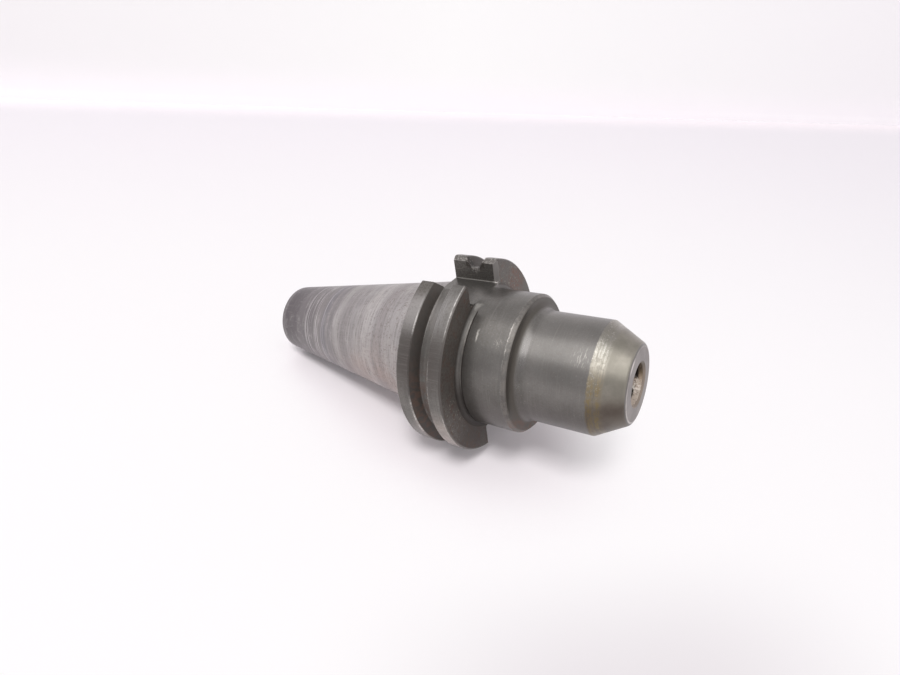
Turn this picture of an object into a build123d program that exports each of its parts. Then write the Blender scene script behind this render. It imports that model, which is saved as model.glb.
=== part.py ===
"""End mill holder: steep-taper V-flange shank, 40 size, for straight shanks of half an inch with a side flat.

The holder is one turned, milled and ground steel body. A hollow-hex set screw in the side of its nose is
the only other piece: it presses on the flat of the cutter's shank.

The holder lies as it comes to rest on a level floor: on the mouth corners of its lower drive slot and on the
edge of its tail, so that its axis rises towards the nose. +Z is up. The origin is on the tool axis
at the gauge line, where the taper has its gauge diameter. The tool axis and both drive slots lie in the
XZ plane, and places along the axis are counted from the origin, positive towards the nose.
"""

import os
from math import atan2, cos, hypot, radians, sin, sqrt, tan

from build123d import *

# Sizes are in millimetres and angles in degrees.

# Taper shank
gauge_diameter = 44.45
taper_ratio = 7 / 24
taper_length = 68.25
tail_edge = 0.5

# V-flange with its gripper groove
flange_diameter = 63.5
flange_rear = 3.175
flange_front = 19.05
flange_rear_edge = 0.4
flange_front_edge = 0.5
groove_centre = 11.11
groove_bottom_width = 2.9
groove_bottom_diameter = 56.3
groove_angle = 60.0

# Drive slots across the flange
slot_width = 16.38
slot_floor_height = 22.6
slot_floor_rounding = 0.4
slot_mouth_chamfer = 1.4
slot_front_chamfer = 1.3

# Collar in front of the flange
collar_diameter = 44.45
collar_end = 34.925
collar_edge = 1.0
flange_root_cone = 0.8
relief_from_flange = 1.3
relief_width = 0.4
relief_depth = 0.2

# Nose
nose_diameter = 34.93
nose_root_rounding = 3.0
cone_start = 57.15
cone_angle = 30.0
nose_face = 66.675
nose_face_edge = 0.35

# Cutter bore, with the passage behind it
bore_diameter = 12.7
bore_depth = 50.8
bore_mouth_chamfer = 0.6
passage_diameter = 7.9
drill_point_angle = 118.0

# Hole for the pull stud in the tail, at its thread's minor diameter
stud_pilot_diameter = 16.27
stud_pilot_depth = 4.8
stud_pilot_chamfer = 0.5
stud_thread_minor_diameter = 13.5
stud_thread_depth = 31.8

# Clamping screw, at its thread's major diameter, square to the tool axis
screw_diameter = 11.0
screw_hole_diameter = 11.12
screw_hole_mouth_diameter = 13.7
screw_from_nose_face = 22.6
screw_length = 10.3
screw_tip_height = 6.9
screw_tip_chamfer = 1.0
screw_outer_chamfer = 0.4
socket_across_flats = 5.56
socket_depth = 5.0

# How far a cutting shape runs past the face that it cuts
overrun = 2.0

# Radii and places that follow from the sizes above
gauge_radius = gauge_diameter / 2
flange_radius = flange_diameter / 2
collar_radius = collar_diameter / 2
nose_radius = nose_diameter / 2
bore_radius = bore_diameter / 2
passage_radius = passage_diameter / 2
tail_end = -taper_length
taper_slope = taper_ratio / 2
tail_radius = gauge_radius - taper_length * taper_slope
face_radius = nose_radius - (nose_face - cone_start) * tan(radians(cone_angle))

# Corner where a slot's mouth chamfer meets the rim of the flange, seen along the tool axis
mouth_half_width = slot_width / 2 + slot_mouth_chamfer
mouth_height = sqrt(flange_radius**2 - mouth_half_width**2)

# The floor passes through the lower mouth corners at the rear rim and through the tail's edge.
rim_contact = flange_rear + flange_rear_edge
tail_contact = tail_end + tail_edge / hypot(1, taper_slope)
tail_contact_radius = gauge_radius + tail_contact * taper_slope
rest_tilt = atan2(mouth_height - tail_contact_radius, rim_contact - tail_contact)

# The tool axis, the plane through it on which the turned outlines are drawn, and the plane through it that lies
# parallel to the slot floors
tool_direction = Vector(cos(rest_tilt), 0, sin(rest_tilt))
tool_axis = Axis((0, 0, 0), tool_direction)
axial_plane = Plane(origin=(0, 0, 0), x_dir=tool_direction, z_dir=(0, -1, 0))
lying_plane = Plane(origin=(0, 0, 0), x_dir=tool_direction, z_dir=(-sin(rest_tilt), 0, cos(rest_tilt)))


def cross_plane(place):
    """Plane square to the tool axis at a place along it, with its local Y towards the upper drive slot."""
    return Plane(origin=tool_direction * place, x_dir=(0, 1, 0), z_dir=tool_direction)


def side_plane(height):
    """Plane square to the clamping screw, at a height above the tool axis."""
    screw_place = nose_face - screw_from_nose_face
    origin = tool_direction * screw_place + Vector(0, height, 0)
    return Plane(origin=origin, x_dir=(1, 0, 0), z_dir=(0, 1, 0))


def corner(outline, place, radius):
    """Corner of an outline nearest to a place along the tool axis and a radius from it."""
    return outline.vertices().sort_by_distance((place, radius))[0]


def drill_point(hole_radius, end_radius):
    """Length of a drill's cone between two radii."""
    return (hole_radius - end_radius) / tan(radians(drill_point_angle / 2))


# Holder body
with BuildPart() as holder_body:
    # Turned outside: tail, taper, flange, collar, nose and cone
    with BuildSketch(axial_plane) as outside:
        with BuildLine():
            Polyline(
                (tail_end, 0),
                (tail_end, tail_radius),
                (0, gauge_radius),
                (flange_rear, gauge_radius),
                (flange_rear, flange_radius),
                (flange_front, flange_radius),
                (flange_front, collar_radius),
                (collar_end, collar_radius),
                (collar_end, nose_radius),
                (cone_start, nose_radius),
                (nose_face, face_radius),
                (nose_face, 0),
                close=True,
            )
        make_face()
        chamfer(corner(outside, tail_end, tail_radius), tail_edge)
        chamfer(corner(outside, flange_rear, flange_radius), flange_rear_edge)
        chamfer(corner(outside, flange_front, flange_radius), flange_front_edge)
        chamfer(corner(outside, flange_front, collar_radius), flange_root_cone)
        chamfer(corner(outside, collar_end, collar_radius), collar_edge)
        fillet(corner(outside, collar_end, nose_radius), nose_root_rounding)
        chamfer(corner(outside, nose_face, face_radius), nose_face_edge)
    revolve(axis=tool_axis)

    # Gripper groove round the flange, with straight flanks and a flat bottom
    groove_bottom_radius = groove_bottom_diameter / 2
    groove_run_out_radius = flange_radius + overrun
    flank_run = (groove_run_out_radius - groove_bottom_radius) * tan(radians(groove_angle / 2))
    groove_bottom_half = groove_bottom_width / 2
    groove_run_out_half = groove_bottom_half + flank_run
    with BuildSketch(axial_plane):
        with BuildLine():
            Polyline(
                (groove_centre - groove_bottom_half, groove_bottom_radius),
                (groove_centre + groove_bottom_half, groove_bottom_radius),
                (groove_centre + groove_run_out_half, groove_run_out_radius),
                (groove_centre - groove_run_out_half, groove_run_out_radius),
                close=True,
            )
        make_face()
    revolve(axis=tool_axis, mode=Mode.SUBTRACT)

    # Narrow relief in the collar, just in front of the flange
    relief_start = flange_front + relief_from_flange
    relief_centre = (relief_start + relief_width / 2, collar_radius)
    with BuildSketch(axial_plane):
        with Locations(relief_centre):
            Rectangle(relief_width, 2 * relief_depth)
    revolve(axis=tool_axis, mode=Mode.SUBTRACT)

    # Two drive slots with chamfered mouths, opposite each other
    wall_top = mouth_height - slot_mouth_chamfer
    flare_run = flange_radius + overrun - wall_top
    slot_half = slot_width / 2
    with BuildSketch(cross_plane(flange_rear - overrun)) as slots:
        with BuildLine():
            Polyline(
                (-slot_half, slot_floor_height),
                (slot_half, slot_floor_height),
                (slot_half, wall_top),
                (slot_half + flare_run, wall_top + flare_run),
                (-slot_half - flare_run, wall_top + flare_run),
                (-slot_half, wall_top),
                close=True,
            )
        make_face()
        fillet(slots.vertices().group_by(Axis.Y)[0], slot_floor_rounding)
        mirror(about=Plane.XZ)
    slot_run = relief_start + relief_width - flange_rear + overrun
    extrude(amount=slot_run, mode=Mode.SUBTRACT)

    # Chamfers on the front edges of the slots' walls, from the slot floors to the rim
    wedge_front = flange_front + overrun
    wedge_reach = slot_half + slot_front_chamfer + overrun
    for side in (1, -1):
        with BuildSketch(lying_plane.offset(side * slot_floor_height)):
            with BuildLine():
                Polyline(
                    (flange_front - slot_front_chamfer, slot_half),
                    (wedge_front, slot_half),
                    (wedge_front, wedge_reach),
                    close=True,
                )
            make_face()
            mirror(about=Plane.XZ)
        extrude(amount=side * flange_radius, mode=Mode.SUBTRACT)

    # Turned inside, from the nose face to the tail: cutter bore, passage, stud thread and stud pilot
    bore_bottom = nose_face - bore_depth
    stud_thread_radius = stud_thread_minor_diameter / 2
    stud_thread_end = tail_end + stud_thread_depth
    stud_pilot_end = tail_end + stud_pilot_depth
    stud_pilot_radius = stud_pilot_diameter / 2
    with BuildSketch(axial_plane) as inside:
        with BuildLine():
            Polyline(
                (nose_face, 0),
                (nose_face, bore_radius + bore_mouth_chamfer),
                (nose_face - bore_mouth_chamfer, bore_radius),
                (bore_bottom, bore_radius),
                (bore_bottom - drill_point(bore_radius, passage_radius), passage_radius),
                (stud_thread_end + drill_point(stud_thread_radius, passage_radius), passage_radius),
                (stud_thread_end, stud_thread_radius),
                (stud_pilot_end, stud_thread_radius),
                (stud_pilot_end, stud_pilot_radius),
                (tail_end + stud_pilot_chamfer, stud_pilot_radius),
                (tail_end, stud_pilot_radius + stud_pilot_chamfer),
                (tail_end, 0),
                close=True,
            )
        make_face()
    revolve(axis=tool_axis, mode=Mode.SUBTRACT)

    # Hole for the clamping screw, from the side of the nose into the cutter bore
    with Locations(side_plane(nose_radius)):
        CounterSinkHole(
            radius=screw_hole_diameter / 2,
            counter_sink_radius=screw_hole_mouth_diameter / 2,
            depth=nose_radius,
            counter_sink_angle=90,
        )

# Clamping screw, with its tip just clear of the cutter bore
with BuildPart() as side_lock_screw:
    with BuildSketch(side_plane(screw_tip_height)):
        Circle(screw_diameter / 2)
    extrude(amount=screw_length)
    chamfer(side_lock_screw.faces().sort_by(Axis.Y)[0].edges(), screw_tip_chamfer)
    chamfer(side_lock_screw.faces().sort_by(Axis.Y)[-1].edges(), screw_outer_chamfer)
    with BuildSketch(side_plane(screw_tip_height + screw_length)):
        RegularPolygon(socket_across_flats / 2, 6, major_radius=False)
    extrude(amount=-socket_depth, mode=Mode.SUBTRACT)

holder_body.part.label = "holder_body"
side_lock_screw.part.label = "side_lock_screw"

os.makedirs("parts", exist_ok=True)
export_step(holder_body.part, "parts/holder_body.step")
export_step(side_lock_screw.part, "parts/side_lock_screw.step")
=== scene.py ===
from functools import reduce
from math import atan2, cos, hypot, pi, radians, sin, sqrt, tan

import bmesh
import bpy
import numpy as np
from mathutils import Euler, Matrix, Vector


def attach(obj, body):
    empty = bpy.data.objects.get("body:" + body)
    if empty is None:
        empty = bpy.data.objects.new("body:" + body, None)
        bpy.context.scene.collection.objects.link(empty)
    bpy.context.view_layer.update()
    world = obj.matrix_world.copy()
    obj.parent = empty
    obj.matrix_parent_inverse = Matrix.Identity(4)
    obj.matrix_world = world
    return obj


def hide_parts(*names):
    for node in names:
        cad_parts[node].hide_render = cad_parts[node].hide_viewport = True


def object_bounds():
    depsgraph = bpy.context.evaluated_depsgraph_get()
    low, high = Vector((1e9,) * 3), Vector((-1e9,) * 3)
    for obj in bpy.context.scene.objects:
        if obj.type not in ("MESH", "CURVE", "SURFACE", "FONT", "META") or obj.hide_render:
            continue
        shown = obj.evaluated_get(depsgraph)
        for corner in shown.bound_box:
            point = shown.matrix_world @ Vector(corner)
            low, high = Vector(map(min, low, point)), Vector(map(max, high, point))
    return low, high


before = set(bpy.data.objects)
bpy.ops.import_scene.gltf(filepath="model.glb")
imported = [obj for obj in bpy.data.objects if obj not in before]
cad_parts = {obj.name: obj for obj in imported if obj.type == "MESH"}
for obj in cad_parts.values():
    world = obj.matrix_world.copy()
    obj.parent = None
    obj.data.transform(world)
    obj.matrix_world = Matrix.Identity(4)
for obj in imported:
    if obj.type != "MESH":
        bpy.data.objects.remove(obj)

cad_box = [list(corner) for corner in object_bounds()]

# Sizes of the holder, in millimetres along and round the tool axis, as in its CAD model
gauge_radius = 22.225
taper_slope = 7 / 48
tail_end = -68.25
tail_edge = 0.5
flange_rear = 3.175
flange_front = 19.05
flange_radius = 31.75
flange_rear_edge = 0.4
flange_front_edge = 0.5
groove_centre = 11.11
groove_bottom_half = 1.45
groove_bottom_radius = 28.15
groove_flank = tan(radians(30))
slot_half = 8.19
slot_floor = 22.6
slot_floor_rounding = 0.4
slot_mouth_chamfer = 1.4
slot_front_chamfer = 1.3
relief_width = 0.4
relief_depth = 0.2
collar_end = 34.925
collar_edge = 1.0
nose_radius = 17.465
nose_root_rounding = 3.0
cone_start = 57.15
nose_face = 66.675
bore_radius = 6.35
bore_bottom = nose_face - 50.8
bore_mouth = 0.6
passage_radius = 3.95
drill_slope = 1 / tan(radians(59))
stud_radius = 6.75
stud_thread_end = tail_end + 31.8
stud_pilot_radius = 8.135
stud_pilot_end = tail_end + 4.8
stud_pilot_edge = 0.5
screw_place = nose_face - 22.6
screw_hole_radius = 5.56
screw_hole_mouth = 6.85
screw_radius = 5.5
screw_tip = 6.9
screw_top = 17.2
screw_tip_chamfer = 1.0
screw_outer_chamfer = 0.4
socket_flat = 2.78
socket_depth = 5.0

tail_radius = gauge_radius + tail_end * taper_slope
cone_face_radius = nose_radius - (nose_face - cone_start) * tan(radians(30))
mouth_half = slot_half + slot_mouth_chamfer
mouth_height = sqrt(flange_radius**2 - mouth_half**2)
wall_top = mouth_height - slot_mouth_chamfer

# Threads, roundings, wear and run-outs, which the CAD model leaves plain. Shares are of a thread's pitch.
stud_pitch = 25.4 / 11
stud_groove_radius = 7.9
inner_thread_shares = (0.25, 0.125)
screw_pitch = 1.27
screw_thread_shares = (0.125, 0.25)
screw_groove_radius = 4.75
screw_hole_groove_radius = 6.1
screw_hole_start = 2.5
socket_mouth = 3.2
socket_drill_point = 0.9
root_rounding = 1.3
nose_face_rounding = 2.0
mouth_wear = 1.2
run_start = flange_front - 2.0
run_out_extra = 3.0
run_out_middle = 3.0
run_out_length = 7.5
filled_half = 7.4
filling_end_half = 9.0

# The holder lies on the lower slot's mouth corners and the tail's edge, which tilts its axis.
tail_contact = tail_end + tail_edge / hypot(1, taper_slope)
tail_contact_radius = gauge_radius + tail_contact * taper_slope
rest_tilt = atan2(mouth_height - tail_contact_radius, flange_rear + flange_rear_edge - tail_contact)
floor_height = cad_box[0][2]

# Ways to work out the shapes


def lengths(runs):
    """The lengths of runs, as a column."""
    return np.linalg.norm(runs, axis=1, keepdims=True)


def rounded(corners, steps=4):
    """Outline through corners (along, radius, rounding). Each arc's centre lies on the bisector of its two
    runs, at rounding / sin(half the angle between them). Its points turn evenly from tangent to tangent."""
    corners = np.array(corners, float)
    point, rounding = corners[:, :2], corners[:, 2:]
    back, ahead = np.roll(point, 1, 0) - point, np.roll(point, -1, 0) - point
    back[0], ahead[-1] = -ahead[0], -back[-1]
    back /= lengths(back)
    ahead /= lengths(ahead)
    half = np.arccos(np.clip((back * ahead).sum(1, keepdims=True), -1, 1)) / 2
    bisector = back + ahead
    length = lengths(bisector)
    straight = length < 1e-9
    centre = point + np.where(straight, 0, bisector / np.maximum(length, 1e-9) * rounding / np.sin(half))
    first = point + back * rounding / np.tan(half) - centre
    last = point + ahead * rounding / np.tan(half) - centre
    turn = np.maximum(pi - 2 * half, 1e-9)[:, None]
    share = np.linspace(0, 1, steps + 1)[None, :, None]
    swept = np.sin((1 - share) * turn) * first[:, None] + np.sin(share * turn) * last[:, None]
    arc = centre[:, None] + swept / np.sin(turn)
    arc = np.where(straight[:, None] | (rounding[:, None] == 0), point[:, None], arc).reshape(-1, 2)
    gap = lengths(np.diff(arc, axis=0))[:, 0]
    return arc[np.concatenate([[True], gap > 1e-7])]


def divided(outline, longest):
    """The same outline with points added evenly on each run, so that no run is longer than longest."""
    run = lengths(np.diff(outline, axis=0))[:, 0]
    parts = np.maximum(np.ceil(run / longest).astype(int), 1)
    start = np.repeat(np.arange(len(run)), parts)
    order = np.arange(parts.sum()) - np.repeat(np.cumsum(parts) - parts, parts)
    share = (order / np.repeat(parts, parts))[:, None]
    inner = outline[start] * (1 - share) + outline[start + 1] * share
    return np.concatenate([inner, outline[-1:]])


def placed(along, across, up):
    """Points of the tool's own frame, in millimetres, moved to the tilted row frame, in metres."""
    along, across, up = np.broadcast_arrays(along, across, up)
    x = along * cos(rest_tilt) - up * sin(rest_tilt)
    z = along * sin(rest_tilt) + up * cos(rest_tilt)
    return np.stack([x, across, z], -1) / 1000


def eased(value, low, high):
    """0 below low, 1 above high, and 3 s^2 - 2 s^3 between them, with s the share of the way."""
    share = np.clip((value - low) / (high - low), 0, 1)
    return share**2 * (3 - 2 * share)


def uneased(value):
    """The share s of the way at which 3 s^2 - 2 s^3 is value: 1/2 - sin(asin(1 - 2 value) / 3)."""
    return 0.5 - np.sin(np.arcsin(1 - 2 * value) / 3)


def fitted(along, across, up):
    """Points of the holder after the work on its edges. Each step takes a point by its place alone.

    The front edges of the slots' walls are cut back to along = front - chamfer + (side - half the slot), and
    the upper slot's mouth is worn lower on the side away from the clamping screw. Between the walls, each
    slot's floor runs out into the collar: its height falls from floor to collar by the eased share of the way
    between the run-out's ends, and the relief behind it is filled. The run-out is whole in the middle of the
    slot and fades out towards the walls."""
    hair = 1e-6
    along, across, up = np.broadcast_arrays(along, across, up)
    side, height = np.abs(across), np.abs(up)
    past_wall = side > slot_half - hair
    worn_side = (across < 0) & (up > 0)
    mouth = np.where(worn_side, side - slot_half + wall_top - mouth_wear, np.inf)
    height = np.where(past_wall, np.minimum(height, mouth), height)
    at_front_edge = past_wall & (height > slot_floor) & (along > flange_front - slot_front_chamfer)
    cut = flange_front - slot_front_chamfer + np.maximum(side - slot_half, 0)
    along = np.where(at_front_edge, np.minimum(along, cut), along)

    radius = np.hypot(side, height)
    root_end = flange_front + root_rounding
    run_end = root_end + run_out_extra
    middle = 1 - eased(side, run_out_middle, slot_half - slot_floor_rounding)
    drop = slot_floor - np.sqrt(gauge_radius**2 - np.minimum(side, slot_half) ** 2)
    low = height <= slot_floor + hair
    on_floor = low & (height > slot_floor - hair) & (along > run_start) & (along < flange_front + hair)
    on_root = low & ~on_floor & (along > flange_front - hair) & (along < root_end)
    on_collar = (along >= root_end - 1e-9) & (along < root_end + run_out_length + 0.5)
    on_collar = on_collar & (height > 0.5 * gauge_radius)
    at_front = eased(flange_front, run_start, run_end)
    fallen = at_front + (1 - at_front) * np.clip((slot_floor - height) / drop, 0, 1)
    height = height - np.where(on_floor, middle * drop * eased(along, run_start, run_end), 0)
    height = height + np.where(on_root, middle * (slot_floor - drop * fallen - height), 0)
    slid = np.where(on_root, run_start + (run_end - run_start) * uneased(fallen), along)
    settled = eased(along, root_end + relief_width, root_end + run_out_length)
    slid = np.where(on_collar, along + run_out_extra * (1 - settled), slid)
    along = along + middle * (slid - along)
    in_span = 1 - eased(side, filled_half, filling_end_half)
    filled = 1 + np.where(on_collar, in_span * np.maximum(gauge_radius / radius - 1, 0), 0)
    return along, side * filled * np.sign(across), height * filled * np.sign(up)


def around_tool(along, radius, angle):
    """Points at an angle round the tool axis, from the upper drive slot towards the clamping screw."""
    return placed(*fitted(along, radius * np.sin(angle), radius * np.cos(angle)))


def around_screw(height, radius, angle):
    """Points at an angle round the clamping screw's axis, at a height from the tool axis."""
    return placed(screw_place + radius * np.sin(angle), height, radius * np.cos(angle))


def ring(*radii):
    """Rows of radii for a flat ring or a cone, edge by edge. An edge that is a number is round."""
    return np.stack(np.broadcast_arrays(*radii))


def thread(start, end, pitch, profile, angle, rows):
    """A screw thread's wall as rows that climb one pitch a turn. Its profile is the radii of its crest and
    root, and the shares of a pitch that each takes. Four or eight rows a pitch pass through the profile's
    corners, and the radius at any place is the straight-sided profile at the place's share of a pitch. Rows
    that climb past an end are held in its plane. Returns places along the axis and radii."""
    crest, root, crest_share, root_share = profile
    flank = (1 - crest_share - root_share) / 2
    corner = np.array([0, crest_share, crest_share + flank, 1 - flank, 1])
    row = np.interp(np.arange(rows) * 4 / rows, np.arange(5), corner)
    turns = np.arange(-1, int((end - start) / pitch) + 2)
    climb = (turns[:, None] + row).ravel()[:, None] + angle / (2 * pi)
    along = np.clip(start + pitch * climb, start, end)
    share = ((along - start) / pitch - angle / (2 * pi) + 1e-6) % 1
    return along, np.interp(share, corner, [crest, crest, root, root, crest])


def linked(name, data):
    """A new object in the scene."""
    thing = bpy.data.objects.new(name, data)
    bpy.context.scene.collection.objects.link(thing)
    return thing


def piece(name, patches, finishes, smooth_below=35):
    """A closed mesh from patches of (grid of points, index of finish). Neighbouring points of a grid join
    into quads, and patches are welded where their points meet."""
    points, quads, finish = [], [], []
    for grid, index in patches:
        rows, columns = grid.shape[:2]
        first = sum(map(len, points))
        corner = (first + np.arange(rows - 1)[:, None] * columns + np.arange(columns - 1)).ravel()
        quads.append(np.stack([corner, corner + 1, corner + columns + 1, corner + columns], 1))
        points.append(grid.reshape(-1, 3))
        finish.append(np.full(len(corner), index))
    mesh = bpy.data.meshes.new(name)
    mesh.from_pydata(np.concatenate(points).tolist(), [], np.concatenate(quads).tolist())
    mesh.polygons.foreach_set("material_index", np.concatenate(finish))
    for entry in finishes:
        mesh.materials.append(entry)
    form = bmesh.new()
    form.from_mesh(mesh)
    bmesh.ops.remove_doubles(form, verts=form.verts, dist=2e-6)
    bmesh.ops.dissolve_degenerate(form, edges=form.edges, dist=1e-6)
    bmesh.ops.recalc_face_normals(form, faces=form.faces)
    form.to_mesh(mesh)
    form.free()
    mesh.shade_smooth()
    mesh.set_sharp_from_angle(angle=radians(smooth_below))
    return linked(name, mesh)


# Ways to work out the finishes


def shade(red, green, blue):
    """A colour given as it shows on a screen, 0 to 255, as the linear colour that a shader takes."""
    channel = np.array([red, green, blue]) / 255
    linear = np.where(channel > 0.04045, ((channel + 0.055) / 1.055) ** 2.4, channel / 12.92)
    return (*linear.tolist(), 1)


class Pattern:
    """Short calls for the nodes of a material or of the sky. Colours are given as they show on a screen, 0 to
    255. A share goes from 0 to 1, and is a number or a node's output."""

    def __init__(self, tree):
        self.tree = tree
        self.coordinates = self.node("TexCoord").outputs

    def node(self, kind, settings=None, **inputs):
        """A new node with its settings, and what its inputs are fed, by their names with _ for a space."""
        made = self.tree.nodes.new("ShaderNode" + kind)
        for name, value in (settings or {}).items():
            setattr(made, name, value)
        for name, value in inputs.items():
            self.feed(made.inputs[name.replace("_", " ")], value)
        return made

    def feed(self, socket, value):
        """Links a node's output to a socket, or sets the socket to a number, a place or a colour."""
        if isinstance(value, bpy.types.NodeSocket):
            self.tree.links.new(value, socket)
        else:
            socket.default_value = shade(*value) if socket.type == "RGBA" else value

    def calc(self, operation, *values, kind="Math", output="Value"):
        made = self.node(kind, {"operation": operation})
        for socket, value in zip(made.inputs, values):
            self.feed(socket, value)
        return made.outputs[output]

    def total(self, *values):
        return reduce(lambda first, second: self.calc("ADD", first, second), values)

    def product(self, *shares):
        return reduce(lambda first, second: self.calc("MULTIPLY", first, second), shares)

    def most(self, *shares):
        return reduce(lambda first, second: self.calc("MAXIMUM", first, second), shares)

    def ease(self, value, first, last, start=0, end=1):
        """Goes smoothly from start to end while value goes from first to last, up or down."""
        span = {"From_Min": first, "From_Max": last, "To_Min": start, "To_Max": end}
        made = self.node("MapRange", {"interpolation_type": "SMOOTHSTEP"}, Value=value, **span)
        return made.outputs[0]

    def band(self, value, low, high, soft):
        """1 between low and high, and 0 outside. Each end is eased from soft before it to soft after it."""
        entered = self.ease(value, low - soft, low + soft)
        return self.product(entered, self.ease(value, high + soft, high - soft))

    def run_from(self, start, direction):
        """How far a place is from start along a direction, in metres of the row frame."""
        row_place = self.coordinates["Object"]
        offset = self.calc("SUBTRACT", row_place, start, kind="VectorMath", output="Vector")
        return self.calc("DOT_PRODUCT", offset, direction, kind="VectorMath")

    def mix(self, share, first, second):
        """A colour between two colours."""
        made = self.node("Mix", {"data_type": "RGBA"}, Factor=share)
        self.feed(made.inputs[6], first)
        self.feed(made.inputs[7], second)
        return made.outputs[2]

    def ramp(self, value, *stops):
        """Colours by value: stops are (value from 0 to 1, colour)."""
        made = self.node("ValToRGB", Fac=value)
        entries = made.color_ramp.elements
        for place, colour in stops[1:-1]:
            entries.new(place)
        entries[0].position = stops[0][0]
        entries[-1].position = stops[-1][0]
        for entry, (place, colour) in zip(entries, stops):
            entry.color = shade(*colour)
        return made.outputs[0]


class Finish(Pattern):
    """A steel's material. Places are in millimetres of the tool's own frame: along its axis, across and up.
    Its side and rise are across and up as shares of the radius."""

    def __init__(self, name):
        self.material = bpy.data.materials.new(name)
        self.material.use_nodes = True
        super().__init__(self.material.node_tree)
        row_place = self.coordinates["Object"]
        tool_frame = {"Rotation": (0, rest_tilt, 0), "Scale": (1000, 1000, 1000)}
        self.place = self.node("Mapping", Vector=row_place, **tool_frame).outputs[0]
        self.along, self.across, self.up = self.node("SeparateXYZ", Vector=self.place).outputs
        up_squared = self.product(self.up, self.up)
        self.radius = self.calc("SQRT", self.calc("MULTIPLY_ADD", self.across, self.across, up_squared))
        self.side = self.calc("DIVIDE", self.across, self.radius)
        self.rise = self.calc("DIVIDE", self.up, self.radius)

    def near(self, along, across, up, reach):
        """1 at a spot of the tool's frame, and less with distance, down to 0 at its reach."""
        distance = self.calc("DISTANCE", self.place, (along, across, up), kind="VectorMath")
        return self.ease(distance, reach, 0.2 * reach)

    def noise_at(self, place, settings=None, **inputs):
        return self.node("TexNoise", settings, Vector=place, **inputs).outputs[0]

    def noise(self, scale, detail=3, roughness=0.5, distortion=0):
        """Noise that is alike in all directions."""
        look = {"Scale": scale, "Detail": detail, "Roughness": roughness, "Distortion": distortion}
        return self.noise_at(self.place, **look)

    def lathe(self, fine, round_the_axis=0.6, detail=3, roughness=0.6):
        """Noise drawn out round the axis, as a cutting or grinding tool leaves it: it changes fast along the
        axis and along the radius, and slowly round it."""
        along, radius = self.product(self.along, fine), self.product(self.radius, fine)
        side, rise = self.product(self.side, round_the_axis), self.product(self.rise, round_the_axis)
        place = self.node("CombineXYZ", X=along, Y=radius, Z=side).outputs[0]
        look = {"W": rise, "Scale": 1, "Detail": detail, "Roughness": roughness}
        return self.noise_at(place, {"noise_dimensions": "4D"}, **look)

    def streaks(self, fine, along_the_axis=0.05, detail=3, roughness=0.6):
        """Noise drawn out along the axis: it changes fast round the axis, and slowly along it."""
        along = self.product(self.along, along_the_axis)
        across, up = self.product(self.across, fine), self.product(self.up, fine)
        place = self.node("CombineXYZ", X=along, Y=across, Z=up).outputs[0]
        return self.noise_at(place, Scale=1, Detail=detail, Roughness=roughness)

    def shaken(self, noise, reach):
        """Places along the axis, shifted back and forth by noise, over a reach in millimetres."""
        return self.total(self.along, self.calc("MULTIPLY_ADD", noise, reach, -reach / 2))

    def mix_number(self, share, first, second):
        made = self.node("Mix", Factor=share)
        self.feed(made.inputs[2], first)
        self.feed(made.inputs[3], second)
        return made.outputs[0]

    def bump(self, height, distance, strength, **under):
        made = self.node("Bump", Height=height, Distance=distance, Strength=strength, **under)
        return made.outputs[0]

    def start(self, colour, metal, rough):
        """The surface before wear and stains are laid over it: its colour, metallic part and roughness."""
        self.colour, self.metal, self.rough = colour, metal, rough

    def cover(self, shares, colour, metal, rough):
        """Lays wear or a stain over the product of some shares of the surface."""
        share = self.product(*shares)
        self.colour = self.mix(share, self.colour, colour)
        self.metal = self.mix_number(share, self.metal, metal)
        self.rough = self.mix_number(share, self.rough, rough)

    def finish(self, normal):
        """Joins the surface and its normal to the shader."""
        inputs = self.tree.nodes["Principled BSDF"].inputs
        self.feed(inputs["Base Color"], self.colour)
        self.feed(inputs["Metallic"], self.metal)
        self.feed(inputs["Roughness"], self.rough)
        self.feed(inputs["Normal"], normal)
        return self.material


# Ground taper


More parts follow.
